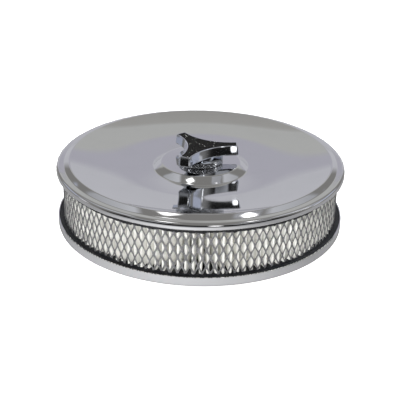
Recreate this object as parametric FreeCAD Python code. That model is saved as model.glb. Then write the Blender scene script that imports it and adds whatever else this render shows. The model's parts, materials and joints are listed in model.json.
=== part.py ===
import FreeCAD, Part
import math
import os

# Round open-sided air cleaner: a pressed pan and lid with a pleated element between them, held
# together by a three-armed knob on a centre stud. Millimetres, +Z up. The origin is the centre of
# the pan's underside, and the whole housing is turned about the Z axis.

V = FreeCAD.Vector
UP = V(0, 0, 1)

# ---- driving dimensions ----
SHEET = 0.9                  # steel sheet of the lid and the pan
RIM_R = 116.0                # outside radius of the lid's lip and of the pan's rim
HEM_DEPTH = 2.3              # how far the lip's curled edge turns in, outside to inside
HEM_BEND = 1.15

PAN_WALL_H = 7.25
PILOT_R = 84.5               # raised middle of the pan, which centres the element
PILOT_H = 5.0
NECK_R = 65.1                # bore for a carburettor air horn of 5 1/8 in
NECK_TOP = 14.0

LID_LIP_Z = 45.3             # bottom of the lid's lip
LIP_BEND = 2.8               # round top edge of the lip
SHELF_Z = 50.5               # shelf just inside the lip
VALLEY_R = 109.9
CREASE_R = 105.6
CREASE_Z = 53.4
DISH_SLOPE_IN = 3.1          # slope of the dished top beside the boss, in degrees
DISH_SLOPE_OUT = 15.2        # and beside the crease
DISH_BEND = 205.0            # radius of the dish between those slopes
BOSS_FOOT_R = 38.6
BOSS_FOOT_Z = 44.9
BOSS_EDGE_R = 31.9
BOSS_TOP = 49.5
LID_HOLE_R = 5.0

ELEMENT_R = 111.1            # outside of the expanded metal
ELEMENT_BORE_R = 87.2
SCREEN_T = 0.5
SEAL_R = 111.6
SEAL_BORE_R = 86.5
SEAL_H = 7.1
SEAL_FLANGE_R = 114.6        # flange of the lower seal, which fills the pan's gutter
SEAL_FLANGE_TOP = 6.6
UPPER_SEAL_Z = 41.6
SEAT_GAP = 0.3               # between the seals and the pressed sheets that they sit against

STUD_R = 3.175               # 1/4 in stud, 20 threads to the inch
STUD_BOTTOM = 14.6
STUD_TOP = 60.1
THREAD_FIT = 0.05            # radial running clearance of the knob on the stud

BRIDGE_W = 18.0
BRIDGE_T = 2.0
BRIDGE_Z = 24.0              # top of the strap
BRIDGE_FOOT_R = 82.0
BRIDGE_LEG_R = 72.5
RIVET_R = 2.0
RIVET_CENTRE_R = 77.6
RIVET_HEAD_R = 3.6
RIVET_HEAD_H = 1.4

NUT_FLATS = 11.1             # 7/16 in across flats
NUT_H = 5.4
LOCK_WASHER_H = 1.6

KNOB_TOP = 63.3
KNOB_ARM_BOTTOM = 55.3
KNOB_ARM_R = 29.5            # centre to the end of an arm, at the top
KNOB_TIP_HALF_W = 4.4
KNOB_WAIST_R = 11.3          # centre to the middle of a hollow side
KNOB_DRAFT = 0.9             # how much further out the sides are near the bottom
KNOB_TURN = 4.9              # direction of the first arm, in degrees from +X
KNOB_RIM = 0.85              # bright edge round the inlay
KNOB_NECK_R = 9.0
KNOB_NECK_BOTTOM = 51.9
KNOB_FLANGE_R = 12.2         # wider part of the neck, between the arms and the collar
INLAY_DEPTH = 0.9
INSERT_R = 5.5
INSERT_TOP = 61.1
COLLAR_R = 18.0
COLLAR_BOTTOM = 49.8
COLLAR_TOP = 54.0
COLLAR_SKIRT_T = 2.6
FLUTES = 44
FLUTE_DEPTH = 0.5
WASHER_R = 9.0
WASHER_T = 0.6
WASHER_STACK_Z = 50.5        # underside of the fibre washer


# ---- shared shapes ----
def polar(r, degrees, z=0.0):
    a = math.radians(degrees)
    return V(r * math.cos(a), r * math.sin(a), z)


def offset_side(path, t):
    """The path moved sideways by t, to its right, with mitred corners and matching bends."""
    pts = [V(x, 0, z) for x, z, bend in path]
    normals = []
    for a, b in zip(pts, pts[1:]):
        d = (b - a).normalize()
        normals.append(V(d.z, 0, -d.x))
    out = []
    for i, (x, z, bend) in enumerate(path):
        n0 = normals[max(i - 1, 0)]
        n1 = normals[min(i, len(normals) - 1)]
        mitre = (n0 + n1) * (t / (1.0 + n0.dot(n1)))
        turns_right = n0.x * n1.z - n0.z * n1.x < 0
        new_bend = 0.0 if bend == 0 else bend - t if turns_right else bend + t
        out.append((x + mitre.x, z + mitre.z, new_bend))
    return out


def bent_edges(path):
    """Straight runs through the path's points, joined by tangent arcs of each point's bend."""
    pts = [V(x, 0, z) for x, z, bend in path]
    edges = []
    start = pts[0]
    for i in range(1, len(pts) - 1):
        d0 = (pts[i] - pts[i - 1]).normalize()
        d1 = (pts[i + 1] - pts[i]).normalize()
        turn = math.acos(max(-1.0, min(1.0, d0.dot(d1))))
        bend = path[i][2]
        if bend <= 0 or turn < 1e-6:
            edges.append(Part.LineSegment(start, pts[i]).toShape())
            start = pts[i]
            continue
        reach = bend * math.tan(turn / 2)
        a = pts[i] - d0 * reach
        b = pts[i] + d1 * reach
        inward = (d1 - d0).normalize()
        middle = pts[i] + inward * (bend / math.cos(turn / 2) - bend)
        if (a - start).Length > 1e-6:
            edges.append(Part.LineSegment(start, a).toShape())
        edges.append(Part.Arc(a, middle, b).toShape())
        start = b
    edges.append(Part.LineSegment(start, pts[-1]).toShape())
    return edges


def sheet_face(path, t):
    """Section of bent sheet: its path, and the same path t to the right, closed at both ends."""
    far = offset_side(path, t)
    near_edges = bent_edges(path)
    far_edges = bent_edges(far)
    a, b = path[0], path[-1]
    c, d = far[0], far[-1]
    caps = [
        Part.LineSegment(V(b[0], 0, b[1]), V(d[0], 0, d[1])).toShape(),
        Part.LineSegment(V(c[0], 0, c[1]), V(a[0], 0, a[1])).toShape(),
    ]
    wire = Part.Wire(Part.__sortEdges__(near_edges + far_edges + caps))
    return Part.Face(wire)


def turned(points):
    """Solid of revolution about Z from a closed section of (r, z) points."""
    loop = [V(r, 0, z) for r, z in points]
    face = Part.Face(Part.makePolygon(loop + loop[:1]))
    return face.revolve(V(0, 0, 0), UP, 360)


def ring(r_in, r_out, z0, z1, edge=0.0):
    """Flat ring, with its outer edges broken by the given chamfer."""
    if edge == 0.0:
        return turned([(r_in, z0), (r_out, z0), (r_out, z1), (r_in, z1)])
    return turned([
        (r_in, z0), (r_out - edge, z0), (r_out, z0 + edge),
        (r_out, z1 - edge), (r_out - edge, z1), (r_in, z1),
    ])


def save(name, shape):
    if len(shape.Solids) == 1:
        shape = shape.Solids[0]
    shape.exportStep("parts/" + name + ".step")
    print(name, "valid", shape.isValid(), "volume %.1f" % shape.Volume)


# ---- pan and what is fixed to it ----
def base_pan():
    path = [
        (RIM_R, PAN_WALL_H, 0),
        (RIM_R, 0.0, 1.3),
        (PILOT_R, 0.0, 0.8),
        (PILOT_R - 0.9, PILOT_H, 0.8),
        (NECK_R, PILOT_H, 2.2),
        (NECK_R, NECK_TOP, 0),
    ]
    pan = sheet_face(path, SHEET).revolve(V(0, 0, 0), UP, 360)
    for side in (0, 180):
        centre = polar(RIVET_CENTRE_R, side, 0)
        pan = pan.cut(Part.makeCylinder(RIVET_R, 20, centre, UP))
    return pan


def neck_gasket():
    return ring(NECK_R + 1.4, 74.0, 0.6, PILOT_H, 0.6)


def stud_bridge():
    low = PILOT_H + SHEET
    path = [
        (-BRIDGE_FOOT_R, low + BRIDGE_T, 0),
        (-BRIDGE_LEG_R, low + BRIDGE_T, 1.0),
        (-BRIDGE_LEG_R + 2.5, BRIDGE_Z, 3.2),
        (BRIDGE_LEG_R - 2.5, BRIDGE_Z, 3.2),
        (BRIDGE_LEG_R, low + BRIDGE_T, 1.0),
        (BRIDGE_FOOT_R, low + BRIDGE_T, 0),
    ]
    face = sheet_face(path, BRIDGE_T)
    strap = face.extrude(V(0, BRIDGE_W, 0))
    strap.translate(V(0, -BRIDGE_W / 2, 0))
    ends = [e for e in strap.Edges
            if abs(abs(e.CenterOfMass.x) - BRIDGE_FOOT_R) < 0.01 and e.Length < BRIDGE_T + 0.1]
    strap = strap.makeFillet(4.0, ends)
    strap = strap.cut(Part.makeCylinder(STUD_R + 0.02, 10, V(0, 0, BRIDGE_Z - 6), UP))
    for side in (0, 180):
        strap = strap.cut(Part.makeCylinder(RIVET_R, 20, polar(RIVET_CENTRE_R, side), UP))
    return strap


def rivet(side):
    """Shank through the pan and the strap, with a domed head above and a flat one below."""
    low = PILOT_H
    high = PILOT_H + SHEET + BRIDGE_T
    dome_r = (RIVET_HEAD_R ** 2 + RIVET_HEAD_H ** 2) / (2 * RIVET_HEAD_H)
    ball = Part.makeSphere(dome_r, V(0, 0, high + RIVET_HEAD_H - dome_r))
    cap = ball.common(Part.makeCylinder(RIVET_HEAD_R + 1, RIVET_HEAD_H + 1, V(0, 0, high), UP))
    shank = Part.makeCylinder(RIVET_R, high - low, V(0, 0, low), UP)
    foot = Part.makeCylinder(3.0, 0.9, V(0, 0, low - 0.9), UP)
    whole = cap.fuse([shank, foot]).removeSplitter()
    whole.translate(polar(RIVET_CENTRE_R, side))
    return whole


def bridge_rivets():
    return Part.makeCompound([rivet(side).Solids[0] for side in (0, 180)])


def hold_down_stud():
    tip = 0.8
    return turned([
        (0, STUD_BOTTOM), (STUD_R - tip, STUD_BOTTOM), (STUD_R, STUD_BOTTOM + tip),
        (STUD_R, STUD_TOP - tip), (STUD_R - tip, STUD_TOP), (0, STUD_TOP),
    ])


def hex_nut(z0):
    """Hexagon nut with its corners turned off on both faces."""
    corner = NUT_FLATS / math.sqrt(3)
    loop = [polar(corner, 60 * k, z0) for k in range(6)]
    body = Part.Face(Part.makePolygon(loop + loop[:1])).extrude(UP * NUT_H)
    turn_off = ring(STUD_R, corner, z0, z0 + NUT_H, 0.7)
    return body.common(turn_off)


def stud_lock_washer():
    """Split spring washer: a ring with one slanted cut."""
    washer = ring(STUD_R + 0.2, 5.6, BRIDGE_Z, BRIDGE_Z + LOCK_WASHER_H)
    slot = Part.makeBox(4, 0.6, 6, V(2.6, -0.3, BRIDGE_Z - 2))
    slot.rotate(V(4, 0, BRIDGE_Z + LOCK_WASHER_H / 2), V(1, 0, 0), 25)
    return washer.cut(slot)


# ---- filter element ----
def lower_seal_ring():
    z0 = SHEET + SEAT_GAP
    z1 = z0 + SEAL_H
    return turned([
        (SEAL_BORE_R, z0 + 0.6), (SEAL_BORE_R + 0.6, z0), (SEAL_FLANGE_R - 0.8, z0),
        (SEAL_FLANGE_R, z0 + 0.8), (SEAL_FLANGE_R, SEAL_FLANGE_TOP - 0.4),
        (SEAL_FLANGE_R - 0.4, SEAL_FLANGE_TOP), (SEAL_R, SEAL_FLANGE_TOP),
        (SEAL_R, z1 - 0.5), (SEAL_R - 0.5, z1), (SEAL_BORE_R, z1),
    ])


def upper_seal_ring():
    """Ring whose top follows the underside of the lid's dish, with a step for the lid's shelf."""
    z0 = UPPER_SEAL_Z
    shelf = SHELF_Z - SHEET - SEAT_GAP - 0.2
    bead_r = 103.8
    steps = 6
    span = bead_r - SEAL_BORE_R
    top = [bead_r - span * k / steps for k in range(steps + 1)]
    drop = (SHEET + SEAT_GAP) / math.cos(math.radians(DISH_SLOPE_OUT))
    return turned([
        (SEAL_BORE_R, z0), (SEAL_R - 0.5, z0), (SEAL_R, z0 + 0.5), (SEAL_R, shelf - 1.0),
        (SEAL_R - 1.2, shelf), (bead_r + 1.2, shelf),
    ] + [(r, dish_top(r) - drop) for r in top])


def element_tube(r_in, r_out):
    return ring(r_in, r_out, SHEET + SEAT_GAP + SEAL_H, UPPER_SEAL_Z)


# ---- lid ----
def dish_corner():
    """Where the straight slopes beside the boss and beside the crease would meet."""
    inner = math.tan(math.radians(DISH_SLOPE_IN))
    outer = math.tan(math.radians(DISH_SLOPE_OUT))
    r = (BOSS_FOOT_Z - CREASE_Z + CREASE_R * outer - BOSS_FOOT_R * inner) / (outer - inner)
    return r, BOSS_FOOT_Z + (r - BOSS_FOOT_R) * inner


def dish_top(r):
    """Height of the lid's top at radius r, on the curved part of its dish."""
    inner = math.radians(DISH_SLOPE_IN)
    outer = math.radians(DISH_SLOPE_OUT)
    reach = DISH_BEND * math.tan((outer - inner) / 2)
    corner_r, corner_z = dish_corner()
    centre_r = corner_r - reach * math.cos(inner) - DISH_BEND * math.sin(inner)
    centre_z = corner_z - reach * math.sin(inner) + DISH_BEND * math.cos(inner)
    return centre_z - math.sqrt(DISH_BEND ** 2 - (r - centre_r) ** 2)


def lid_shell():
    dish_r, dish_z = dish_corner()
    path = [
        (LID_HOLE_R, BOSS_TOP, 0),
        (BOSS_EDGE_R, BOSS_TOP, 2.4),
        (BOSS_FOOT_R, BOSS_FOOT_Z, 1.6),
        (dish_r, dish_z, DISH_BEND),
        (CREASE_R, CREASE_Z, 1.5),
        (VALLEY_R, SHELF_Z + 0.15, 1.5),
        (RIM_R, SHELF_Z, LIP_BEND),
        (RIM_R, LID_LIP_Z, HEM_BEND - 0.01),
        (RIM_R - HEM_DEPTH, LID_LIP_Z, HEM_BEND - 0.01),
        (RIM_R - HEM_DEPTH, LID_LIP_Z + 2.2, 0),
    ]
    return sheet_face(path, SHEET).revolve(V(0, 0, 0), UP, 360)


def lid_grommet():
    """Rubber grommet: a sleeve through the lid's hole between two flanges."""
    bore = STUD_R + 0.08
    top = BOSS_TOP
    under = BOSS_TOP - SHEET
    return turned([
        (bore, under - 1.6), (6.6, under - 1.6), (7.6, under - 0.8), (7.6, under),
        (LID_HOLE_R, under), (LID_HOLE_R, top), (8.2, top), (8.2, top + 0.5),
        (7.9, top + 0.8), (bore, top + 0.8),
    ])


# ---- knob ----
def knob_outline(inset, z):
    """Three arms with square ends, joined by hollow sides that are arcs, moved in by inset."""
    arc_r, arc_d = hollow_side()
    arc_r += inset
    end = KNOB_ARM_R - inset
    cx, cy = arc_d * 0.5, arc_d * math.sqrt(3) / 2
    half = cy - math.sqrt(arc_r ** 2 - (end - cx) ** 2)
    corner_r = math.hypot(end, half)
    corner_a = math.degrees(math.atan2(half, end))
    edges = []
    for k in range(3):
        arm = KNOB_TURN + 120 * k
        low = polar(corner_r, arm - corner_a, z)
        high = polar(corner_r, arm + corner_a, z)
        after = polar(corner_r, arm + 120 - corner_a, z)
        waist = polar(arc_d - arc_r, arm + 60, z)
        edges.append(Part.LineSegment(low, high).toShape())
        edges.append(Part.Arc(high, waist, after).toShape())
    return Part.Face(Part.Wire(edges))


def hollow_side():
    """Radius of a hollow side's arc, and its centre's distance from the knob's axis."""
    along = KNOB_ARM_R * 0.5 + KNOB_TIP_HALF_W * math.sqrt(3) / 2
    across = KNOB_ARM_R * math.sqrt(3) / 2 - KNOB_TIP_HALF_W * 0.5
    depth = along - KNOB_WAIST_R
    r = (depth ** 2 + across ** 2) / (2 * depth)
    return r, KNOB_WAIST_R + r


def is_upright(edge):
    a, b = edge.Vertexes[0].Point, edge.Vertexes[-1].Point
    return abs(a.x - b.x) < 1e-4 and abs(a.y - b.y) < 1e-4 and abs(a.z - b.z) > 0.1


def knob_block(inset, z0, z1, corner):
    block = knob_outline(inset, z0).extrude(UP * (z1 - z0))
    return block.makeFillet(corner, [e for e in block.Edges if is_upright(e)])


def knob_section(inset, z, corner):
    """The outline's wire at height z, with rounded corners."""
    block = knob_block(inset, z, z + 1, corner)
    floor = min(block.Faces, key=lambda face: face.CenterOfMass.z)
    return floor.OuterWire


def knob_body():
    """Cast arms with drafted sides and eased edges, on a round neck."""
    arms = Part.makeLoft([
        knob_section(0.5 - KNOB_DRAFT, KNOB_ARM_BOTTOM, 1.5),
        knob_section(-KNOB_DRAFT, KNOB_ARM_BOTTOM + 1.0, 2.0),
        knob_section(0, KNOB_TOP - 0.35, 1.1),
        knob_section(0.35, KNOB_TOP, 0.8),
    ], True, True)
    pocket = knob_block(KNOB_RIM, KNOB_TOP - INLAY_DEPTH, KNOB_TOP + 1, 0.5)
    neck = turned([
        (0, KNOB_NECK_BOTTOM), (KNOB_NECK_R, KNOB_NECK_BOTTOM), (KNOB_NECK_R, COLLAR_TOP),
        (KNOB_FLANGE_R, COLLAR_TOP), (KNOB_FLANGE_R, KNOB_ARM_BOTTOM), (0, KNOB_ARM_BOTTOM),
    ])
    bore = Part.makeCylinder(INSERT_R, INSERT_TOP - KNOB_NECK_BOTTOM + 1,
                             V(0, 0, KNOB_NECK_BOTTOM - 1), UP)
    return arms.fuse(neck).cut(pocket).cut(bore).removeSplitter()


def knob_inlay():
    return knob_block(KNOB_RIM, KNOB_TOP - INLAY_DEPTH, KNOB_TOP - 0.15, 0.5)


def knob_insert():
    """Closed brass insert with a groove round its middle."""
    z0, z1 = KNOB_NECK_BOTTOM, INSERT_TOP
    bore = STUD_R + THREAD_FIT
    mid = (z0 + z1) / 2
    groove = 0.4
    return turned([
        (bore + 0.5, z0), (INSERT_R, z0), (INSERT_R, mid - 1), (INSERT_R - groove, mid - 1),
        (INSERT_R - groove, mid + 1), (INSERT_R, mid + 1), (INSERT_R, z1), (0, z1),
        (0, z1 - 0.7), (bore, z1 - 0.7), (bore, z0 + 0.5),
    ])


def knob_collar():
    """Knurled cup under the arms. Its skirt hides the washers."""
    z0, z1 = COLLAR_BOTTOM, COLLAR_TOP
    rim = []
    for k in range(FLUTES):
        step = 360.0 / FLUTES
        rim.append(polar(COLLAR_R, k * step, z0))
        rim.append(polar(COLLAR_R - FLUTE_DEPTH, (k + 0.5) * step, z0))
    star = Part.Face(Part.makePolygon(rim + rim[:1])).extrude(UP * (z1 - z0))
    edge = 0.6
    skirt_r = COLLAR_R - COLLAR_SKIRT_T
    web_z = z1 - 1.8
    blank = turned([
        (skirt_r, z0), (COLLAR_R - edge, z0), (COLLAR_R, z0 + edge), (COLLAR_R, z1 - edge),
        (COLLAR_R - edge, z1), (KNOB_NECK_R, z1), (KNOB_NECK_R, web_z), (skirt_r, web_z),
    ])
    return blank.common(star)


def knob_washers():
    """The fibre washer, and the steel washer on top of it."""
    z0 = WASHER_STACK_Z
    z1 = z0 + WASHER_T
    bore = STUD_R + 0.3
    return ring(bore, WASHER_R - 0.4, z0, z1, 0.1), ring(bore, WASHER_R, z1, z1 + WASHER_T, 0.1)


os.makedirs("parts", exist_ok=True)
save("base_pan", base_pan())
save("neck_gasket", neck_gasket())
save("stud_bridge", stud_bridge())
save("bridge_rivets", bridge_rivets())
save("hold_down_stud", hold_down_stud())
save("stud_lower_nut", hex_nut(BRIDGE_Z - BRIDGE_T - NUT_H))
save("stud_lock_washer", stud_lock_washer())
save("stud_upper_nut", hex_nut(BRIDGE_Z + LOCK_WASHER_H))
save("lower_seal_ring", lower_seal_ring())
save("upper_seal_ring", upper_seal_ring())
save("outer_screen", element_tube(ELEMENT_R - SCREEN_T, ELEMENT_R))
save("inner_screen", element_tube(ELEMENT_BORE_R, ELEMENT_BORE_R + SCREEN_T))
save("filter_media", element_tube(ELEMENT_BORE_R + SCREEN_T, ELEMENT_R - SCREEN_T))
save("lid_shell", lid_shell())
save("lid_grommet", lid_grommet())
fibre_washer, steel_washer = knob_washers()
save("knob_seal_washer", fibre_washer)
save("knob_washer", steel_washer)
save("knob_body", knob_body())
save("knob_collar", knob_collar())
save("knob_insert", knob_insert())
save("knob_inlay", knob_inlay())
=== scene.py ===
import json
import math
import random

import bmesh
import bpy
from mathutils import Matrix, Vector, noise


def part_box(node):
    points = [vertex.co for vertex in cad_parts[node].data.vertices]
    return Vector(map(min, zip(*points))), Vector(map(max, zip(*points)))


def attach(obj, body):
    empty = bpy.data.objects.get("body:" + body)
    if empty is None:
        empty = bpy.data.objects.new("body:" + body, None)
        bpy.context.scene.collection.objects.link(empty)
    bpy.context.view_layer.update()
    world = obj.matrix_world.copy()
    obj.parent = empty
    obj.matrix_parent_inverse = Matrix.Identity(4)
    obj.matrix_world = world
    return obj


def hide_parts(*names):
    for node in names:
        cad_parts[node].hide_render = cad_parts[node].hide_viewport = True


# Round chrome air cleaner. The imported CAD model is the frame: this script gives it its looks, and
# puts detailed pieces over the nodes that CAD keeps plain. The object's lengths are in millimetres,
# and are scaled by MM where they become Blender coordinates. The studio's lengths are in metres.
# Angles are in degrees unless said otherwise.

MM = 0.001
TAU = 2 * math.pi
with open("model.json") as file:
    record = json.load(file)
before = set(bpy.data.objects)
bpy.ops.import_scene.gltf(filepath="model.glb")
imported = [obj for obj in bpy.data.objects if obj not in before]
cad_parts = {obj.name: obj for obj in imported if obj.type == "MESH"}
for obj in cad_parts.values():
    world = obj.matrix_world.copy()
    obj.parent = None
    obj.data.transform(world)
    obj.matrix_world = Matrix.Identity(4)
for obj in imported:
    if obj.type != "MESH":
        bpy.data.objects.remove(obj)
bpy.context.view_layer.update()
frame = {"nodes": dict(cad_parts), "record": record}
nodes = frame["nodes"]

# ---- sizes shared with the CAD model ----
SHEET = 0.9                  # thickness of the pressed lid and pan
RIM_R = 116.0
PAN_WALL_H = 7.25
PAN_CORNER_BEND = 1.3
PILOT_R = 84.5               # raised middle of the pan, which centres the element
PILOT_H = 5.0
PILOT_BEND = 0.8
NECK_R = 65.1
NECK_TOP = 14.0
NECK_BEND = 2.2
LID_LIP_Z = 45.3             # bottom of the lid's lip
HEM_DEPTH = 2.3              # how far the lip's curled edge turns in
HEM_HEIGHT = 2.2             # how far it then turns up
HEM_BEND = 1.14
LIP_BEND = 2.8               # round top edge of the lip
SHELF_Z = 50.5               # step in the lid, just inside the lip
VALLEY_R = 109.9
VALLEY_Z = SHELF_Z + 0.15
CREASE_R = 105.6             # ridge between the step and the dish
CREASE_Z = 53.4
STEP_BEND = 1.5
DISH_SLOPE_IN = 3.1
DISH_SLOPE_OUT = 15.2
DISH_BEND = 205.0
BOSS_FOOT_R = 38.6
BOSS_FOOT_Z = 44.9
BOSS_FOOT_BEND = 1.6
BOSS_EDGE_R = 31.9
BOSS_EDGE_BEND = 2.4
BOSS_TOP = 49.5
LID_HOLE_R = 5.0
STUD_R = 3.175
SEAL_BORE_R = 86.5
SEAL_R = 111.6
SEAL_FLANGE_R = 114.6
SEAL_FLANGE_TOP = 6.6
SEAT_GAP = 0.3
EDGE = 0.5                   # how wide the rounding of a moulded or turned edge is
EDGE_MIDDLE = 0.15           # how far the middle of that rounding is inside the corner

# ---- detail that only the visual model has ----
AROUND = 400                 # facets round the turned chrome pieces
SEAL_AROUND = 1080           # facets round the rubber rings, enough for their ragged edges
ARC_STEP = 8.0               # degrees per facet in a bend
LONGEST = 3.4                # longest facet along a sheet's section
SUPPORT = 0.12               # how close to its ends a straight run has a point
LIP_WAVE = 0.16              # how far the lid's lip strays up and down
SEAL_WANDER = 0.7            # how far a poured rubber edge strays up and down
MESH_CELL_W = 5.921          # short way of a diamond, round the tube
MESH_CELL_H = 13.1           # long way of a diamond
MESH_STRAND = 0.70           # from a diamond's side corners to its opening
MESH_KNUCKLE = 1.7           # from a diamond's top and bottom corners to its opening
MESH_SWELL = 1.45            # how round the opening is: 1 is a straight-sided diamond
MESH_T = 0.26
MESH_LEAN = 0.08             # how far the openings' sides lean in and out, as slit metal does
MESH_UNEVEN = 0.05           # how far it strays in and out
MESH_DROP = 0.6              # how far the first row is below the screen's bottom
MESH_SEAM = 105.5            # where the wrapped mesh starts, clockwise from +X
MESH_SLIP = 0.06             # how far the overlapping ends are out of step, in diamonds
MESH_STEPS = 4               # facets along a quarter of a diamond
PLEATS = 125
PAPER_T = 0.55
PAPER_INNER_R = 87.7
FOOT = 2.0                   # how far paper and mesh reach into the seals
FOLD = 0.25                  # half the width of a fold's round tip, as a share of a half pleat
THREAD_PITCH = 1.27
THREAD_DEPTH = 0.62
COLLAR_BORE_R = 9.0
COLLAR_SKIRT = 2.6           # thickness of the collar's knurled skirt
COLLAR_WEB = 1.8             # thickness of its flat top
KNURLS = 44
KNURL_PITCH = 2.9
KNURL_DEPTH = 0.55

# ---- studio, in metres ----
LAMP_AIM = Vector((0, 0, 0.04))
BOX_AIM = Vector((0, 0, 0.05))
LEFT_LAMP = (-109.8, 75.7, 0.61)       # azimuth, elevation and distance
RIGHT_LAMP = (117.4, 63.0, 0.412)
FLOOR_WIDTH = 12.0
COOL = (0.965, 0.985, 1.04)            # tints of the panels that the chrome shows
BLUE = (0.90, 0.95, 1.12)
PALE = (0.97, 0.985, 1.02)
WARM = (1.01, 1.0, 0.96)
CAMERA_TILT = 25.70
CAMERA_ROLL = 1.067
CAMERA_DISTANCE = 780.7 * MM
CAMERA_AIM = Vector((0.036, 0.0, 13.8)) * MM


def node_size(name):
    """Outer radius, bottom and top of a round CAD node, in millimetres."""
    low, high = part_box(name)
    return high.x / MM, low.z / MM, high.z / MM


# =====================================================================================
# Materials
# =====================================================================================
class Nodes:
    """A material's node tree, with short ways to add and join nodes."""

    def __init__(self, name):
        self.material = bpy.data.materials.new(name)
        self.material.use_nodes = True
        self.tree = self.material.node_tree
        self.tree.nodes.clear()
        self.output = self.add("ShaderNodeOutputMaterial")
        self.shader = self.add("ShaderNodeBsdfPrincipled")
        self.join(self.shader.outputs[0], self.output.inputs["Surface"])
        self.place = self.add("ShaderNodeTexCoord").outputs["Object"]

    def add(self, kind, **settings):
        node = self.tree.nodes.new(kind)
        for key, value in settings.items():
            setattr(node, key, value)
        return node

    def join(self, a, b):
        self.tree.links.new(a, b)

    def put(self, node, name, value):
        """Sets an input to a value, or joins it to a socket."""
        if isinstance(value, bpy.types.NodeSocket):
            self.join(value, node.inputs[name])
        else:
            node.inputs[name].default_value = value

    def stretched(self, scale):
        node = self.add("ShaderNodeMapping")
        self.join(self.place, node.inputs["Vector"])
        node.inputs["Scale"].default_value = scale
        return node.outputs[0]

    def noise(self, scale, detail=3.0, roughness=0.5, place=None, distortion=0.0):
        node = self.add("ShaderNodeTexNoise")
        self.put(node, "Vector", place or self.place)
        self.put(node, "Scale", scale)
        self.put(node, "Detail", detail)
        self.put(node, "Roughness", roughness)
        self.put(node, "Distortion", distortion)
        return node.outputs["Fac"]

    def cells(self, scale):
        node = self.add("ShaderNodeTexVoronoi")
        self.put(node, "Vector", self.place)
        self.put(node, "Scale", scale)
        return node.outputs["Distance"]

    def spread(self, value, low, high, to_low=0.0, to_high=1.0):
        """Maps value from low..high to to_low..to_high, clamped."""
        node = self.add("ShaderNodeMapRange")
        self.put(node, "Value", value)
        self.put(node, "From Min", low)
        self.put(node, "From Max", high)
        self.put(node, "To Min", to_low)
        self.put(node, "To Max", to_high)
        return node.outputs[0]

    def math(self, operation, a, b=0.0):
        node = self.add("ShaderNodeMath", operation=operation)
        for socket, value in zip(node.inputs, (a, b)):
            if isinstance(value, bpy.types.NodeSocket):
                self.join(value, socket)
            else:
                socket.default_value = value
        return node.outputs[0]

    def blend(self, factor, first, second):
        """Mixes two colours. Inputs 6 and 7 and output 2 are the node's colour sockets."""
        node = self.add("ShaderNodeMix", data_type="RGBA")
        self.put(node, "Factor", factor)
        for socket, value in ((node.inputs[6], first), (node.inputs[7], second)):
            if isinstance(value, bpy.types.NodeSocket):
                self.join(value, socket)
            else:
                socket.default_value = (*value, 1.0)
        return node.outputs[2]

    def worn_edge(self, radius):
        """0 on flat ground, up to 1 on edges that stand out or in."""
        bevel = self.add("ShaderNodeBevel", samples=4)
        bevel.inputs["Radius"].default_value = radius
        geometry = self.add("ShaderNodeNewGeometry")
        turned = self.add("ShaderNodeVectorMath", operation="DOT_PRODUCT")
        self.join(bevel.outputs[0], turned.inputs[0])
        self.join(geometry.outputs["Normal"], turned.inputs[1])
        return self.spread(turned.outputs["Value"], 1.0, 0.9)

    def bump(self, height, depth):
        """Normal for a surface that height, from 0 to 1, lifts by up to depth metres."""
        node = self.add("ShaderNodeBump")
        self.put(node, "Height", height)
        self.put(node, "Distance", depth)
        return node.outputs[0]

    def finish(self, **sockets):
        """Sets the shader's sockets, whose names have _ for a space, and gives the material."""
        for name, value in sockets.items():
            name = name.replace("_", " ")
            if isinstance(value, tuple) and len(value) == 3:
                value = (*value, 1.0)
            self.put(self.shader, name, value)
        return self.material


def chrome(name, tint, wave_depth):
    """Bright plate: nearly a mirror, with a little haze, faint waves and fine hairline marks."""
    m = Nodes(name)
    haze = m.noise(38.0, 4.0, 0.6)
    fine = m.noise(900.0, 2.0)
    hairs = m.noise(60.0, 2.0, 0.5, m.stretched((1.0, 14.0, 6.0)), 0.6)
    marks = m.spread(hairs, 0.66, 0.72)
    roughness = m.spread(haze, 0.35, 0.75, 0.035, 0.075)
    roughness = m.math("ADD", roughness, m.math("MULTIPLY", marks, 0.035))
    roughness = m.math("ADD", roughness, m.spread(fine, 0.6, 0.8, 0.0, 0.02))
    dull = m.blend(m.spread(haze, 0.45, 0.8), tint, tuple(0.965 * c for c in tint))
    waves = m.bump(m.noise(9.0, 1.0), wave_depth)
    return m.finish(Base_Color=dull, Metallic=1.0, Roughness=roughness, Normal=waves)


def black_inlay():
    """Black crackle-finish insert with a few bright specks."""
    m = Nodes("inlay_black")
    grain = m.cells(2300.0)
    lumps = m.noise(700.0, 4.0, 0.65)
    specks = m.spread(m.cells(420.0), 0.15, 0.10)
    height = m.math("ADD", m.math("MULTIPLY", grain, 0.6), lumps)
    colour = m.blend(m.spread(lumps, 0.35, 0.75), (0.002, 0.002, 0.002), (0.008, 0.008, 0.0078))
    colour = m.blend(specks, colour, (0.30, 0.30, 0.29))
    roughness = m.spread(lumps, 0.3, 0.7, 0.7, 0.9)
    return m.finish(Base_Color=colour, Roughness=roughness, Normal=m.bump(height, 0.00025),
                    Specular_IOR_Level=0.08)


def paper():
    """Resin-treated filter paper: pressed fibres and faint blotches."""
    m = Nodes("filter_paper")
    fibres = m.noise(1500.0, 5.0, 0.7, m.stretched((1.0, 1.0, 0.35)))
    blotches = m.noise(55.0, 3.0)
    colour = m.blend(m.spread(blotches, 0.35, 0.7), (0.89, 0.885, 0.85), (0.82, 0.81, 0.765))
    colour = m.blend(m.spread(fibres, 0.5, 0.8, 0.0, 0.35), colour, (0.67, 0.66, 0.61))
    return m.finish(Base_Color=colour, Roughness=m.spread(fibres, 0.3, 0.7, 0.8, 0.95),
                    Normal=m.bump(fibres, 0.00012), Specular_IOR_Level=0.25)


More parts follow.
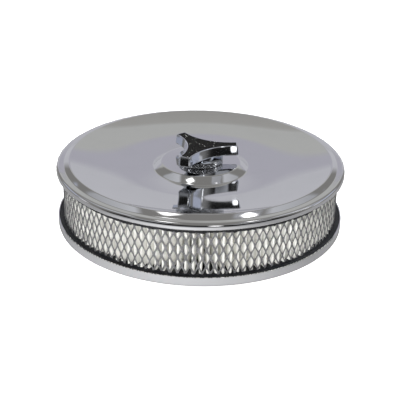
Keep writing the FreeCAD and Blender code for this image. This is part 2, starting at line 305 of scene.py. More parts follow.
def screen_steel():
    """Dull zinc on expanded metal: a faint spangle, and dark specks."""
    m = Nodes("screen_steel")
    spangle = m.cells(260.0)
    grain = m.noise(1400.0, 3.0)
    colour = m.blend(m.spread(spangle, 0.1, 0.6), (0.29, 0.29, 0.295), (0.21, 0.21, 0.215))
    colour = m.blend(m.spread(grain, 0.55, 0.8, 0.0, 0.5), colour, (0.15, 0.155, 0.17))
    roughness = m.spread(grain, 0.3, 0.7, 0.38, 0.6)
    return m.finish(Base_Color=colour, Metallic=0.5, Roughness=roughness,
                    Normal=m.bump(grain, 0.00008))


def rubber(name, colour, scale=1.0, roughness=(0.32, 0.55)):
    """Moulded rubber with a fine skin and a faint bloom."""
    m = Nodes(name)
    skin = m.noise(1100.0 * scale, 4.0, 0.6)
    bloom = m.noise(70.0, 3.0)
    pale = tuple(2.4 * c + 0.006 for c in colour)
    shade = m.blend(m.spread(bloom, 0.5, 0.85, 0.0, 0.6), colour, pale)
    return m.finish(Base_Color=shade, Roughness=m.spread(skin, 0.3, 0.7, *roughness),
                    Normal=m.bump(skin, 0.0001))


def foam():
    """Closed-cell foam gasket."""
    m = Nodes("gasket_foam")
    cells = m.cells(1500.0)
    tone = m.noise(90.0, 2.0)
    colour = m.blend(m.spread(tone, 0.3, 0.7), (0.028, 0.028, 0.030), (0.055, 0.054, 0.055))
    return m.finish(Base_Color=colour, Roughness=m.spread(cells, 0.0, 0.6, 0.95, 0.7),
                    Normal=m.bump(cells, 0.0003))


def zinc_steel():
    """Zinc plate with a faint blue and straw cast, brighter where tools have rubbed."""
    m = Nodes("zinc_steel")
    cast = m.noise(160.0, 3.0, 0.6, distortion=0.8)
    grain = m.noise(1500.0, 3.0, 0.6, m.stretched((1.0, 1.0, 0.25)))
    colour = m.blend(m.spread(cast, 0.35, 0.65), (0.60, 0.63, 0.68), (0.66, 0.63, 0.56))
    colour = m.blend(m.worn_edge(0.0004), colour, (0.80, 0.80, 0.80))
    roughness = m.spread(grain, 0.3, 0.7, 0.2, 0.38)
    return m.finish(Base_Color=colour, Metallic=1.0, Roughness=roughness,
                    Normal=m.bump(grain, 0.00006))


def brass():
    """Turned brass with its tool rings."""
    m = Nodes("insert_brass")
    rings = m.noise(2600.0, 2.0, 0.5, m.stretched((0.05, 0.05, 1.0)))
    tarnish = m.noise(300.0, 3.0)
    colour = m.blend(m.spread(tarnish, 0.4, 0.75), (0.80, 0.61, 0.30), (0.52, 0.36, 0.17))
    roughness = m.spread(tarnish, 0.3, 0.7, 0.2, 0.42)
    return m.finish(Base_Color=colour, Metallic=1.0, Roughness=roughness,
                    Normal=m.bump(rings, 0.00006))


def fibre():
    """Red vulcanised fibre."""
    m = Nodes("fibre")
    felt = m.noise(1100.0, 5.0, 0.7)
    tone = m.noise(240.0, 2.0)
    colour = m.blend(m.spread(tone, 0.35, 0.7), (0.36, 0.075, 0.045), (0.22, 0.05, 0.035))
    return m.finish(Base_Color=colour, Roughness=m.spread(felt, 0.3, 0.7, 0.5, 0.75),
                    Normal=m.bump(felt, 0.0001))


FINISHES = {
    "chrome_sheet": chrome("chrome_sheet", (0.775, 0.775, 0.785), 0.00002),
    "chrome_cast": chrome("chrome_cast", (0.74, 0.76, 0.80), 0.00006),
    "inlay_black": black_inlay(),
    "insert_brass": brass(),
    "zinc_steel": zinc_steel(),
    "screen_steel": screen_steel(),
    "filter_paper": paper(),
    "seal_rubber": rubber("seal_rubber", (0.006, 0.0065, 0.008), roughness=(0.42, 0.65)),
    "gasket_foam": foam(),
    "grommet_rubber": rubber("grommet_rubber", (0.014, 0.014, 0.014), 1.6),
    "fibre": fibre(),
}


def dress_cad_nodes():
    """Every CAD node takes the finish of its slot in the record."""
    for part in frame["record"]["subparts"]:
        mesh = nodes[part["node"]].data
        mesh.materials.clear()
        mesh.materials.append(FINISHES[part["material_slot"]])


# =====================================================================================
# Mesh helpers
# =====================================================================================
def piece(name, verts, faces, slot, body, replaced, sharp=40.0):
    """A mesh from points in millimetres, dressed, riding on its body, in place of a CAD node."""
    mesh = bpy.data.meshes.new(name)
    mesh.from_pydata([Vector(v) * MM for v in verts], [], faces)
    mesh.validate()
    build = bmesh.new()
    build.from_mesh(mesh)
    bmesh.ops.recalc_face_normals(build, faces=build.faces)
    build.to_mesh(mesh)
    build.free()
    mesh.shade_smooth()
    mesh.set_sharp_from_angle(angle=math.radians(sharp))
    mesh.materials.append(FINISHES[slot])
    obj = bpy.data.objects.new(name, mesh)
    bpy.context.scene.collection.objects.link(obj)
    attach(obj, body)
    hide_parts(replaced)


def turn_section(section, around=AROUND):
    """Points and faces of a closed (r, z) section turned about the Z axis."""
    n = len(section)
    verts = []
    for k in range(around):
        c, s = math.cos(TAU * k / around), math.sin(TAU * k / around)
        verts += [(r * c, r * s, z) for r, z in section]
    faces = []
    for k in range(around):
        here, there = k * n, (k + 1) % around * n
        for i in range(n):
            j = (i + 1) % n
            faces.append((here + i, here + j, there + j, there + i))
    return verts, faces


def offset_side(path, t):
    """The (x, z, bend) path moved sideways by t, to its right, with mitred corners."""
    points = [Vector((x, z)) for x, z, bend in path]
    normals = []
    for a, b in zip(points, points[1:]):
        d = (b - a).normalized()
        normals.append(Vector((d.y, -d.x)))
    out = []
    for i, (x, z, bend) in enumerate(path):
        n0 = normals[max(i - 1, 0)]
        n1 = normals[min(i, len(normals) - 1)]
        mitre = (n0 + n1) * (t / (1.0 + n0.dot(n1)))
        turns_right = n0.x * n1.y - n0.y * n1.x < 0
        new_bend = 0.0 if bend == 0 else bend - t if turns_right else bend + t
        out.append((x + mitre.x, z + mitre.y, new_bend))
    return out


def bent_line(path):
    """The path as points: arcs at its bends, and on straight runs a point close to each end."""
    points = [Vector((x, z)) for x, z, bend in path]
    out = [points[0]]
    for i in range(1, len(points) - 1):
        d0 = (points[i] - points[i - 1]).normalized()
        d1 = (points[i + 1] - points[i]).normalized()
        turn = d0.angle(d1, 0.0)
        bend = path[i][2]
        if bend <= 0 or turn < 1e-6:
            add_run(out, points[i])
            continue
        reach = bend * math.tan(turn / 2)
        start = points[i] - d0 * reach
        add_run(out, start)
        side = 1.0 if d0.x * d1.y - d0.y * d1.x > 0 else -1.0
        centre = start + Vector((-d0.y, d0.x)) * side * bend
        steps = max(3, math.ceil(math.degrees(turn) / ARC_STEP), math.ceil(bend * turn / LONGEST))
        for k in range(1, steps + 1):
            spoke = start - centre
            spoke.rotate(Matrix.Rotation(side * turn * k / steps, 2))
            out.append(centre + spoke)
    add_run(out, points[-1])
    return [(p.x, p.y) for p in out]


def add_run(out, end):
    """Adds a straight run to end, in steps, with extra points that keep the run's ends flat."""
    start = out[-1]
    length = (end - start).length
    if length < 1e-6:
        return
    direction = (end - start) / length
    stops = []
    if length > 4 * SUPPORT:
        inside = length - 2 * SUPPORT
        steps = math.ceil(inside / LONGEST)
        stops = [SUPPORT + inside * k / steps for k in range(steps + 1)]
    out.extend([start + direction * s for s in stops + [length]])


def sheet_section(path, t):
    """Closed section of bent sheet: the path, and back along its far side."""
    return bent_line(path) + bent_line(offset_side(path, t))[::-1]


# =====================================================================================
# Pressed chrome lid and pan
# =====================================================================================
def dish_corner():
    """Where the dish's straight slopes beside the boss and beside the crease would meet."""
    inner = math.tan(math.radians(DISH_SLOPE_IN))
    outer = math.tan(math.radians(DISH_SLOPE_OUT))
    r = (BOSS_FOOT_Z - CREASE_Z + CREASE_R * outer - BOSS_FOOT_R * inner) / (outer - inner)
    return r, BOSS_FOOT_Z + (r - BOSS_FOOT_R) * inner


def dish_top(r):
    """Height of the lid's top at radius r, on the curved part of its dish."""
    inner = math.radians(DISH_SLOPE_IN)
    outer = math.radians(DISH_SLOPE_OUT)
    reach = DISH_BEND * math.tan((outer - inner) / 2)
    corner_r, corner_z = dish_corner()
    centre_r = corner_r - reach * math.cos(inner) - DISH_BEND * math.sin(inner)
    centre_z = corner_z - reach * math.sin(inner) + DISH_BEND * math.cos(inner)
    return centre_z - math.sqrt(DISH_BEND ** 2 - (r - centre_r) ** 2)


def swollen(a, b, rise, bend):
    """Path point that gives the slope from a to b a slight swell."""
    across = Vector((b[0] - a[0], b[1] - a[1])).normalized()
    return (a[0] + b[0]) / 2 - across.y * rise, (a[1] + b[1]) / 2 + across.x * rise, bend


def lid_shell():
    """Pressed lid, its lip a little wavy."""
    path = [
        (LID_HOLE_R, BOSS_TOP, 0),
        (BOSS_EDGE_R, BOSS_TOP, BOSS_EDGE_BEND),
        swollen((BOSS_EDGE_R, BOSS_TOP), (BOSS_FOOT_R, BOSS_FOOT_Z), 0.20, 40.0),
        (BOSS_FOOT_R, BOSS_FOOT_Z, BOSS_FOOT_BEND),
        (*dish_corner(), DISH_BEND),
        (CREASE_R, CREASE_Z, STEP_BEND),
        swollen((CREASE_R, CREASE_Z), (VALLEY_R, VALLEY_Z), 0.06, 50.0),
        (VALLEY_R, VALLEY_Z, STEP_BEND),
        (RIM_R, SHELF_Z, LIP_BEND),
        (RIM_R, LID_LIP_Z, HEM_BEND),
        (RIM_R - HEM_DEPTH, LID_LIP_Z, HEM_BEND),
        (RIM_R - HEM_DEPTH, LID_LIP_Z + HEM_HEIGHT, 0),
    ]
    verts, faces = turn_section(sheet_section(path, SHEET))
    lip_width = 5.0
    pressed = []
    for x, y, z in verts:
        near_lip = min(1.0, max(0.0, (math.hypot(x, y) - RIM_R + lip_width) / lip_width))
        long_wave = noise.noise(Vector((x, y, 0.0)) * 0.045)
        short_wave = noise.noise(Vector((x, y, 9.0)) * 0.11)
        pressed.append((x, y, z + LIP_WAVE * near_lip * (long_wave + 0.5 * short_wave)))
    piece("lid_pressing", pressed, faces, "chrome_sheet", "lid", "lid_shell")


def base_pan():
    """Pressed pan: plain outer wall, flat seat, raised pilot and turned-up neck."""
    path = [
        (RIM_R, PAN_WALL_H, 0),
        (RIM_R, 0.0, PAN_CORNER_BEND),
        (PILOT_R, 0.0, PILOT_BEND),
        (PILOT_R - SHEET, PILOT_H, PILOT_BEND),
        (NECK_R, PILOT_H, NECK_BEND),
        (NECK_R, NECK_TOP, 0),
    ]
    verts, faces = turn_section(sheet_section(path, SHEET))
    piece("pan_pressing", verts, faces, "chrome_sheet", "base", "base_pan")


# =====================================================================================
# Filter element
# =====================================================================================
def seal_ring(name, node, section, ragged, seed, sink=0.0):
    """Moulded ring. The section's ragged points sink, and wander up and down as poured rubber does."""
    count = len(section)
    verts, faces = turn_section(section, SEAL_AROUND)
    poured = []
    for i, (x, y, z) in enumerate(verts):
        if i % count in ragged:
            around = Vector((x, y, seed))
            z += SEAL_WANDER * (noise.noise(around * 0.16) + noise.noise(around * 0.55)) - sink
        poured.append((x, y, z))
    piece(name, poured, faces, "seal_rubber", "element", node)


def lower_seal():
    """Lower ring: a flange on the pan's seat, and a ragged step up round the mesh."""
    _, low, high = node_size("lower_seal_ring")
    flange = SEAL_FLANGE_TOP
    section = [
        (SEAL_BORE_R, low + 0.6), (SEAL_BORE_R + 0.6, low), (SEAL_FLANGE_R - 0.8, low),
        (SEAL_FLANGE_R - 0.2, low + 0.25), (SEAL_FLANGE_R, low + 0.8), (SEAL_FLANGE_R, flange - EDGE),
        (SEAL_FLANGE_R - EDGE_MIDDLE, flange - EDGE_MIDDLE), (SEAL_FLANGE_R - EDGE, flange),
        (SEAL_R + 0.3, flange), (SEAL_R, flange + 0.3), (SEAL_R, high - EDGE),
        (SEAL_R - EDGE_MIDDLE, high - EDGE_MIDDLE), (SEAL_R - EDGE, high),
        (SEAL_BORE_R + EDGE, high), (SEAL_BORE_R, high - EDGE),
    ]
    step_top = (10, 11, 12, 13)
    seal_ring("lower_seal", "lower_seal_ring", section, step_top, 3.0, SEAL_WANDER)


def upper_seal():
    """Upper ring: ragged round the mesh, and moulded to the lid's shelf and the dish above it."""
    _, low, _ = node_size("upper_seal_ring")
    shelf = SHELF_Z - SHEET - SEAT_GAP - 0.2
    bead_r = 103.8
    drop = (SHEET + SEAT_GAP) / math.cos(math.radians(DISH_SLOPE_OUT))
    steps = 6
    top = [bead_r - (bead_r - SEAL_BORE_R) * k / steps for k in range(steps + 1)]
    section = [
        (SEAL_BORE_R, low + EDGE), (SEAL_BORE_R + EDGE, low), (SEAL_R - EDGE, low - 0.4),
        (SEAL_R - EDGE_MIDDLE, low - 0.25), (SEAL_R, low), (SEAL_R, shelf - 1.2),
        (SEAL_R - 0.35, shelf - 0.35), (SEAL_R - 1.2, shelf), (bead_r + 1.2, shelf),
    ] + [(r, dish_top(r) - drop) for r in top]
    outer_foot = (2, 3, 4)
    seal_ring("upper_seal", "upper_seal_ring", section, outer_foot, 8.0)


def expanded_metal(name, node, radius, overlap, seed):
    """A wrapped sheet of expanded metal: diamonds round a tube, long way up, ends overlapping.

    Each quarter of a diamond is a strand between the line that joins two of its corners and the
    edge of its opening. The overlap is in degrees.
    """
    _, bottom, top = node_size(node)
    cells = round(TAU * radius / MESH_CELL_W)
    width = TAU / (cells + MESH_SLIP)
    spare = math.ceil(overlap / math.degrees(width)) + 1
    half_w, half_h = width / 2, MESH_CELL_H / 2
    rows = math.ceil((top - bottom) / half_h) + 2
    open_w = half_w - MESH_STRAND / radius
    open_h = half_h - MESH_KNUCKLE
    verts, faces, index = [], [], {}

    def vertex(a, z, depth):
        """Number of the point there, which strands share. Radius grows so that the ends overlap."""
        key = (round(a, 6), round(z, 3), round(depth, 3))
        if key not in index:
            uneven = MESH_UNEVEN * noise.noise(Vector((a * 9, z * 0.08, seed)))
            r = radius + depth + MESH_T * a / TAU + uneven
            turn = a - math.radians(MESH_SEAM)
            index[key] = len(verts)
            verts.append((r * math.cos(turn), r * math.sin(turn), z))
        return index[key]

    def line(middle_a, middle_z, points, depth, lean):
        """Points of one line of a quarter diamond, none of them beyond the element's seals."""
        numbers = []
        for k, (da, dz) in enumerate(points):
            z = min(max(middle_z + dz, bottom - FOOT), top + FOOT)
            numbers.append(vertex(middle_a + da, z, depth + lean * (1 - k / MESH_STEPS)))
        return numbers

    def quarter(middle_a, middle_z, side, up):
        shares = [k / MESH_STEPS for k in range(MESH_STEPS + 1)]
        outer = [(side * half_w * (1 - f), up * half_h * f) for f in shares]
        inner = [(side * open_w * (1 - f ** MESH_SWELL), up * open_h * f) for f in shares]
        outer_in = line(middle_a, middle_z, outer, 0.0, 0.0)
        outer_out = line(middle_a, middle_z, outer, MESH_T, 0.0)
        inner_in = line(middle_a, middle_z, inner, 0.0, side * MESH_LEAN)
        inner_out = line(middle_a, middle_z, inner, MESH_T, side * MESH_LEAN)
        for a, b in ((outer_out, inner_out), (inner_out, inner_in), (inner_in, outer_in)):
            for i in range(MESH_STEPS):
                corners = list(dict.fromkeys((a[i], a[i + 1], b[i + 1], b[i])))
                if len(corners) > 2:
                    faces.append(corners)

    for row in range(rows):
        middle_z = bottom + (row - 1) * half_h - MESH_DROP
        for column in range(cells + spare):
            middle_a = (column + 0.5 * ((row + 1) % 2)) * width
            for side, up in ((-1, -1), (-1, 1), (1, -1), (1, 1)):
                quarter(middle_a, middle_z, side, up)
    piece(name, verts, faces, "screen_steel", "element", node, 50.0)


def folded_line(outer_r):
    """The folded paper seen from above: (angle, radius) points, four round each uneven fold."""
    folds = PLEATS * 2
    tip_r, root_r = outer_r - 0.25, PAPER_INNER_R + 0.8
    points = []
    for k in range(folds):
        middle = TAU * (k + random.uniform(-0.10, 0.10)) / folds
        reach = random.uniform(0.0, 0.5)
        for lean in (-FOLD, -0.4 * FOLD, 0.4 * FOLD, FOLD):
            back = reach + 0.6 * (lean / FOLD) ** 2
            r = tip_r - back if k % 2 == 0 else root_r + back
            points.append((middle + lean * TAU / folds, r))
    return points


def pleated_paper():
    """Folded filter paper: a closed zigzag wall with rounded folds that sway a little."""
    random.seed(7)
    outer_r, bottom, top = node_size("filter_media")
    points = folded_line(outer_r)
    count = len(points)
    sways = [random.uniform(-1, 1) for _ in range(PLEATS * 2)]
    most_sway = 0.35
    levels = 9
    verts, faces = [], []
    for push in (-0.5 * PAPER_T, 0.5 * PAPER_T):
        for level in range(levels):
            f = level / (levels - 1)
            z = bottom - FOOT + (top - bottom + 2 * FOOT) * f
            for i, (a, r) in enumerate(points):
                (a0, r0), (a1, r1) = points[i - 1], points[(i + 1) % count]
                along_x = r1 * math.cos(a1) - r0 * math.cos(a0)
                along_y = r1 * math.sin(a1) - r0 * math.sin(a0)
                normal = Vector((along_y, -along_x)).normalized()
                turn = a + sways[i // 4] * most_sway * math.sin(math.pi * f) / r
                x = r * math.cos(turn) + normal.x * push
                y = r * math.sin(turn) + normal.y * push
                verts.append((x, y, z))
    sheet = levels * count
    for shell in (0, 1):
        for level in range(levels - 1):
            for i in range(count):
                a = shell * sheet + level * count + i
                b = shell * sheet + level * count + (i + 1) % count
                faces.append((a, b, b + count, a + count))
    for level in (0, levels - 1):
        for i in range(count):
            a = level * count + i
            b = level * count + (i + 1) % count
            faces.append((a, b, b + sheet, a + sheet))
    piece("pleated_paper", verts, faces, "filter_paper", "element", "filter_media", 75.0)


# =====================================================================================
# Stud
# =====================================================================================
def threaded_stud():
    """Stud with a rolled screw thread that fades out at both chamfered ends."""
    _, bottom, top = node_size("hold_down_stud")
    around = 36
    chamfer = 0.8
    rings = round((top - bottom) / THREAD_PITCH * 8)
    verts, faces = [], []
    for k in range(rings + 1):
        z = bottom + (top - bottom) * k / rings
        end = min(1.0, (z - bottom) / chamfer, (top - z) / chamfer)
        for i in range(around):
            a = TAU * i / around
            phase = (z / THREAD_PITCH - i / around) % 1.0
            groove = THREAD_DEPTH * (1 - abs(2 * phase - 1))
            r = min(STUD_R - groove, STUD_R - chamfer * (1 - end))
            verts.append((r * math.cos(a), r * math.sin(a), z))
    for k in range(rings):
        low, high = k * around, (k + 1) * around
        for i in range(around):
            j = (i + 1) % around
            faces.append((low + i, low + j, high + j, high + i))
    faces.append(tuple(range(around))[::-1])
    faces.append(tuple(range(rings * around, (rings + 1) * around)))
    piece("stud_thread", verts, faces, "zinc_steel", "base", "hold_down_stud", 60.0)


# =====================================================================================
# Knob collar
# =====================================================================================
def knurled_collar():
    """The knob's collar, with a diamond knurl pressed into its edge."""
    radius, low, top = node_size("knob_collar")
    skirt_r = radius - COLLAR_SKIRT
    web_z = top - COLLAR_WEB
    rows = 20
    outside = [(radius - EDGE, low), (radius - EDGE_MIDDLE, low + EDGE_MIDDLE)]
    outside += [(radius, low + EDGE + (top - low - 2 * EDGE) * k / rows) for k in range(rows + 1)]
    outside += [(radius - EDGE_MIDDLE, top - EDGE_MIDDLE), (radius - EDGE, top)]
    inside = [(COLLAR_BORE_R, top), (COLLAR_BORE_R, web_z), (skirt_r, web_z)]
    section = [(skirt_r, low)] + outside + inside
    count = len(section)
    facets_each = 12
    verts, faces = turn_section(section, KNURLS * facets_each)
    knurled = []
    for i, (x, y, z) in enumerate(verts):
        if 3 <= i % count <= rows + 3:
            turn = math.atan2(y, x) * KNURLS / TAU
            climb = (z - low) / KNURL_PITCH
            left = abs(2 * ((turn + climb) % 1.0) - 1)
            right = abs(2 * ((turn - climb) % 1.0) - 1)
            pressed = 1 - KNURL_DEPTH * max(1 - 2 * left, 1 - 2 * right, 0.0) / radius
            x, y = x * pressed, y * pressed
        knurled.append((x, y, z))
    piece("knurled_collar", knurled, faces, "chrome_cast", "knob", "knob_collar", 25.0)


# =====================================================================================
# Studio
# =====================================================================================
def direction(azimuth, elevation):
    """Unit vector: azimuth 0 is behind the object (+Y), positive to the right."""
    a, e = math.radians(azimuth), math.radians(elevation)
    return Vector((math.sin(a) * math.cos(e), math.cos(a) * math.cos(e), math.sin(e)))


def glow(name, low, high, tint=(1.0, 1.0, 1.0), fade_x=0.0, fade_y=0.0):
    """Emission from low at a panel's bottom edge to high at its top, fading out near its edges."""
    m = Nodes(name)
    light = m.add("ShaderNodeEmission")
    coordinates = m.add("ShaderNodeTexCoord")
    parts = m.add("ShaderNodeSeparateXYZ")
    m.join(coordinates.outputs["Generated"], parts.inputs[0])
    m.join(m.spread(parts.outputs["Y"], 0.0, 1.0, low, high), light.inputs["Strength"])
    light.inputs["Color"].default_value = (*tint, 1.0)
    cover = None
    for axis, fade in (("X", fade_x), ("Y", fade_y)):
        if fade > 0:
            from_middle = m.math("ABSOLUTE", m.math("SUBTRACT", parts.outputs[axis], 0.5))
            soft = m.spread(m.math("SUBTRACT", 0.5, from_middle), 0.0, fade)
            cover = m.math("MULTIPLY", cover, soft) if cover else soft
    if cover is None:
        m.join(light.outputs[0], m.output.inputs["Surface"])
        return m.material
    mixed = m.add("ShaderNodeMixShader")
    m.join(cover, mixed.inputs[0])
    m.join(m.add("ShaderNodeBsdfTransparent").outputs[0], mixed.inputs[1])
    m.join(light.outputs[0], mixed.inputs[2])
    m.join(mixed.outputs[0], m.output.inputs["Surface"])
    return m.material


def grid(cuts, point):
    """Points and faces of a square sheet, where point places the shares u and v, -0.5 to 0.5."""
    verts, faces = [], []
    for j in range(cuts + 1):
        for i in range(cuts + 1):
            verts.append(point(i / cuts - 0.5, j / cuts - 0.5))
    for j in range(cuts):
        for i in range(cuts):
            a = j * (cuts + 1) + i
            faces.append((a, a + 1, a + cuts + 2, a + cuts + 1))
    return verts, faces


def staged(name, verts, faces, material):
    """A mesh of the studio, which is no piece of the object."""
    mesh = bpy.data.meshes.new(name)
    mesh.from_pydata(verts, [], faces)
    mesh.materials.append(material)
    obj = bpy.data.objects.new(name, mesh)
    bpy.context.scene.collection.objects.link(obj)
    obj.visible_shadow = False
    return obj


def panel(name, centre, facing, width, height, material):
    """A studio panel: a gently bowed sheet that shows in reflections and not to the camera."""
    def bowed(u, v):
        return u * width, v * height, -0.02 * width * (4 * u * u - 1)

    forward = (facing - centre).normalized()
    right = forward.cross(Vector((0, 0, 1))).normalized()
    up = right.cross(forward)
    obj = staged(name, *grid(8, bowed), material)
    turn = Matrix((right, up, -forward)).transposed().to_4x4()
    obj.matrix_world = Matrix.Translation(centre) @ turn
    obj.visible_camera = False


def lamp(name, azimuth, elevation, distance, size, power):
    """A round soft lamp aimed at the object, which no reflection shows."""
    data = bpy.data.lights.new(name, "AREA")
    data.shape = "DISK"
    data.size = size
    data.energy = power
    obj = bpy.data.objects.new(name, data)
    away = direction(azimuth, elevation)
    obj.location = away * distance + LAMP_AIM
    obj.rotation_euler = away.to_track_quat("Z", "Y").to_euler()
    obj.visible_camera = False
    obj.visible_glossy = False
    bpy.context.scene.collection.objects.link(obj)


def glare(name, azimuth, elevation, distance, size, strength):
    """What the chrome shows of a lamp: a bright patch that fades towards its edges."""
    centre = direction(azimuth, elevation) * distance + LAMP_AIM
    material = glow("glow_glare_" + name, strength, strength, fade_x=0.35, fade_y=0.35)
    panel("glare_" + name, centre, LAMP_AIM, size, size, material)


def world_light():
    """Dim warm room: nearly black in front, mid grey overhead and behind."""
    world = bpy.data.worlds.new("room")
    bpy.context.scene.world = world
    world.use_nodes = True
    tree = world.node_tree
    tree.nodes.clear()
    output = tree.nodes.new("ShaderNodeOutputWorld")
    background = tree.nodes.new("ShaderNodeBackground")
    coordinates = tree.nodes.new("ShaderNodeTexCoord")
    parts = tree.nodes.new("ShaderNodeSeparateXYZ")
    tree.links.new(coordinates.outputs["Generated"], parts.inputs[0])

    def spread(value, low, high, to_low, to_high):
        node = tree.nodes.new("ShaderNodeMapRange")
        node.interpolation_type = "SMOOTHSTEP"
        tree.links.new(value, node.inputs["Value"])
        for socket, amount in zip(("From Min", "From Max", "To Min", "To Max"),
                                  (low, high, to_low, to_high)):
            node.inputs[socket].default_value = amount
        return node.outputs[0]

    behind = spread(parts.outputs["Y"], -0.55, 0.05, 0.0, 1.0)
    overhead = spread(parts.outputs["Z"], 0.46, 0.90, 0.0, 1.0)
    lit = tree.nodes.new("ShaderNodeMath")
    lit.operation = "MAXIMUM"
    tree.links.new(behind, lit.inputs[0])
    tree.links.new(overhead, lit.inputs[1])
    level = spread(lit.outputs[0], 0.0, 1.0, 0.012, 0.235)
    tree.links.new(level, background.inputs["Strength"])
    background.inputs["Color"].default_value = (1.0, 0.985, 0.95, 1.0)
    tree.links.new(background.outputs[0], output.inputs["Surface"])


def floor():
    """White sweep under the object for the camera, and the greyer floor that the chrome sees."""
    def flat(u, v):
        return FLOOR_WIDTH * u, FLOOR_WIDTH * v, 0.0

    for name, material, z, seen in (
            ("floor_sweep", floor_seen, -0.0006, True),
            ("floor_reflected", floor_in_chrome, -0.0009, False)):
        obj = staged(name, *grid(12, flat), material(name))
        obj.location.z = z
        obj.visible_camera = seen
        obj.visible_glossy = not seen
        obj.visible_diffuse = not seen


def floor_seen(name):
    """White floor that glows, so that only the darkest contact shadow shows on it."""
    m = Nodes(name)
    light = m.add("ShaderNodeEmission")
    light.inputs["Strength"].default_value = 0.88
    diffuse = m.add("ShaderNodeBsdfDiffuse")
    diffuse.inputs["Color"].default_value = (0.45, 0.45, 0.45, 1.0)
    both = m.add("ShaderNodeAddShader")
    m.join(light.outputs[0], both.inputs[0])
    m.join(diffuse.outputs[0], both.inputs[1])
    m.join(both.outputs[0], m.output.inputs["Surface"])
    return m.material


def floor_in_chrome(name):
    """Floor with a painted pool of light, brightest in front and a little to the left, and a painted
    contact shadow where it meets the pan.
    """
    m = Nodes(name)
    light = m.add("ShaderNodeEmission")
    light.inputs["Color"].default_value = (0.98, 0.985, 1.0, 1.0)
    away = m.add("ShaderNodeVectorMath", operation="DISTANCE")
    m.join(m.place, away.inputs[0])
    away.inputs[1].default_value = (-0.035, -0.185, 0.0)
    # painted pool of light: the glow is brightest near a spot in front of the object, a little to the
    # left
    level = m.spread(away.outputs["Value"], 0.0, 0.17, 1.05, 0.40)
    from_middle = m.add("ShaderNodeVectorMath", operation="LENGTH")
    m.join(m.place, from_middle.inputs[0])
    # painted contact shadow: the glow darkens close to the pan's rim
    dark_end, light_end = (RIM_R + 0.4) * MM, (RIM_R + 2.4) * MM
    painted_contact_shadow = m.spread(from_middle.outputs["Value"], dark_end, light_end, 0.45, 1.0)
    m.join(m.math("MULTIPLY", level, painted_contact_shadow), light.inputs["Strength"])
    m.join(light.outputs[0], m.output.inputs["Surface"])
    return m.material


def backdrop():
    """A white wall far behind, all round, that only the camera sees."""
    reach = FLOOR_WIDTH / 2
    height = 5.0
    posts = 64
    verts, faces = [], []
    for k in range(posts):
        c, s = math.cos(TAU * k / posts), math.sin(TAU * k / posts)
        verts += [(reach * c, reach * s, -0.01), (reach * c, reach * s, height)]
        a, b = 2 * k, 2 * ((k + 1) % posts)
        faces.append((a, b, b + 1, a + 1))
    obj = staged("backdrop", verts, faces, glow("backdrop_white", 1.0, 1.0))
    obj.visible_glossy = False
    obj.visible_diffuse = False


def back_wall():
    """Near backdrop in level bands, which the dished top shows as its curved grey stripes.

    Each band starts a little below the top of the one before it, and they fade into each other.
    """
    y = 0.48
    wide = 0.90
    soft = 0.011
    # name, bottom, top, level at the bottom, level at the top, tint
    bands = (
        ("table", 0.0, 0.243, 0.54, 0.55, (0.985, 0.99, 1.06)),
        ("cloth", 0.243, 0.297, 0.46, 0.46, (0.985, 0.975, 1.10)),
        ("wall", 0.297, 0.410, 0.485, 0.485, (0.995, 1.005, 0.985)),
        ("upper", 0.410, 0.62, 0.395, 0.33, WARM),
        ("top", 0.62, 0.95, 0.33, 0.25, WARM),
    )
    for order, (name, z0, z1, low, high, tint) in enumerate(bands):
        bottom = z0 - 3 * soft if order else z0 - 0.05
        height = z1 + soft - bottom
        middle_z = bottom + height / 2
        centre = Vector((0, y + 0.002 * order, middle_z))
        material = glow("glow_" + name, low, high, tint, fade_x=0.07, fade_y=2 * soft / height)
        panel("back_" + name, centre, Vector((0, 0, middle_z)), wide, height, material)
    low_down = Vector((0, 0, 0.03))
    centre = low_down + Vector((0, y - 0.02, 0))
    material = glow("glow_low", 0.22, 0.26, (1.0, 1.0, 1.02), fade_x=0.2)
    panel("back_low", centre, low_down, 0.40, 0.06, material)


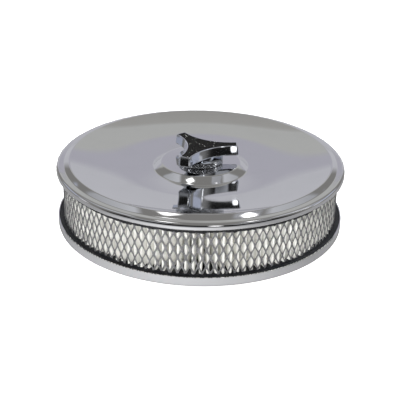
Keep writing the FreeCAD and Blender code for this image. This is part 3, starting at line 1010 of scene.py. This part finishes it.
def softboxes():
    """Big pale panels at the sides and in front, and a thin bright strip at the right."""
    # name, azimuth, elevation, width, height, level at the bottom, level at the top, tint
    boxes = (
        ("left", -77, 50, 0.50, 0.54, 0.38, 0.62, COOL),
        ("right", 76, 45.5, 0.54, 0.58, 0.38, 0.60, COOL),
        ("right_top", 86, 69, 0.38, 0.24, 0.36, 0.40, COOL),
        ("right_side", 71, 21, 0.54, 0.30, 0.55, 0.55, BLUE),
        ("left_side", -66, 21, 0.46, 0.30, 0.50, 0.50, BLUE),
        ("front_right", 138, 44, 0.50, 0.42, 0.42, 0.26, PALE),
        ("front_left", -138, 44, 0.50, 0.42, 0.42, 0.26, PALE),
        ("low_front_right", 135, 2, 0.60, 0.18, 0.25, 0.25, PALE),
        ("low_front_left", -135, 2, 0.60, 0.18, 0.25, 0.25, PALE),
        ("low_front", 180, 2, 0.70, 0.18, 0.25, 0.25, PALE),
    )
    for side, azimuth, elevation, wide, high, level_low, level_high, tint in boxes:
        centre = direction(azimuth, elevation) * 0.95 + BOX_AIM
        material = glow("glow_softbox_" + side, level_low, level_high, tint, 0.13, 0.13)
        panel("softbox_" + side, centre, BOX_AIM, wide, high, material)
    for side, azimuth, level in (("left", -88, 1.25), ("right", 88, 0.85)):
        centre = direction(azimuth, 14) * 0.8 + BOX_AIM
        material = glow("glow_low_" + side, level, level, (0.98, 0.99, 1.03), 0.35, 0.35)
        panel("low_" + side, centre, BOX_AIM, 0.20, 0.16, material)
    centre = direction(89, 36) * 0.9 + BOX_AIM
    material = glow("glow_strip", 2.2, 2.6, fade_x=0.3, fade_y=0.2)
    panel("strip_right", centre, BOX_AIM, 0.03, 0.40, material)


def camera():
    """The photograph's viewpoint: a long lens, well above the object, rolled by a degree."""
    tilt, roll = math.radians(CAMERA_TILT), math.radians(CAMERA_ROLL)
    forward = Vector((0, math.cos(tilt), -math.sin(tilt)))
    right = Vector((1, 0, 0))
    up = right.cross(forward)
    turned_right = right * math.cos(roll) + up * math.sin(roll)
    turned_up = up * math.cos(roll) - right * math.sin(roll)
    data = bpy.data.cameras.new("camera")
    data.lens = 85.0
    data.sensor_width = 36.0
    data.clip_start = 0.01
    obj = bpy.data.objects.new("camera", data)
    turn = Matrix((turned_right, turned_up, -forward)).transposed().to_4x4()
    obj.matrix_world = Matrix.Translation(CAMERA_AIM - forward * CAMERA_DISTANCE) @ turn
    bpy.context.scene.collection.objects.link(obj)
    bpy.context.scene.camera = obj


def studio():
    """Everything round the object. Lamps light the dull pieces, and panels are what chrome shows."""
    bpy.context.scene.view_settings.view_transform = "Standard"
    world_light()
    floor()
    backdrop()
    back_wall()
    softboxes()
    lamp("lamp_left", *LEFT_LAMP, 0.095, 5.0)
    lamp("lamp_right", *RIGHT_LAMP, 0.058, 2.0)
    lamp("front_fill", -160, 28, 1.3, 0.5, 11.0)
    lamp("front_low", 174, 14, 1.3, 0.4, 6.0)
    lamp("right_fill", 80, 25, 1.3, 0.5, 6.0)
    lamp("back_fill", 10, 25, 1.3, 0.5, 11.0)
    lamp("left_fill", -50, 25, 1.3, 0.5, 4.0)
    glare("left", *LEFT_LAMP, 0.125, 4.5)
    glare("right", *RIGHT_LAMP, 0.060, 5.0)
    glare("front", 168.0, 29.0, 1.3, 0.25, 5.0)
    camera()


# =====================================================================================
# The whole thing
# =====================================================================================
dress_cad_nodes()
lid_shell()
base_pan()
lower_seal()
upper_seal()
expanded_metal("outer_mesh", "outer_screen", radius=110.7, overlap=19.0, seed=1.0)
expanded_metal("inner_mesh", "inner_screen", radius=87.3, overlap=12.0, seed=5.0)
pleated_paper()
knurled_collar()
threaded_stud()
studio()
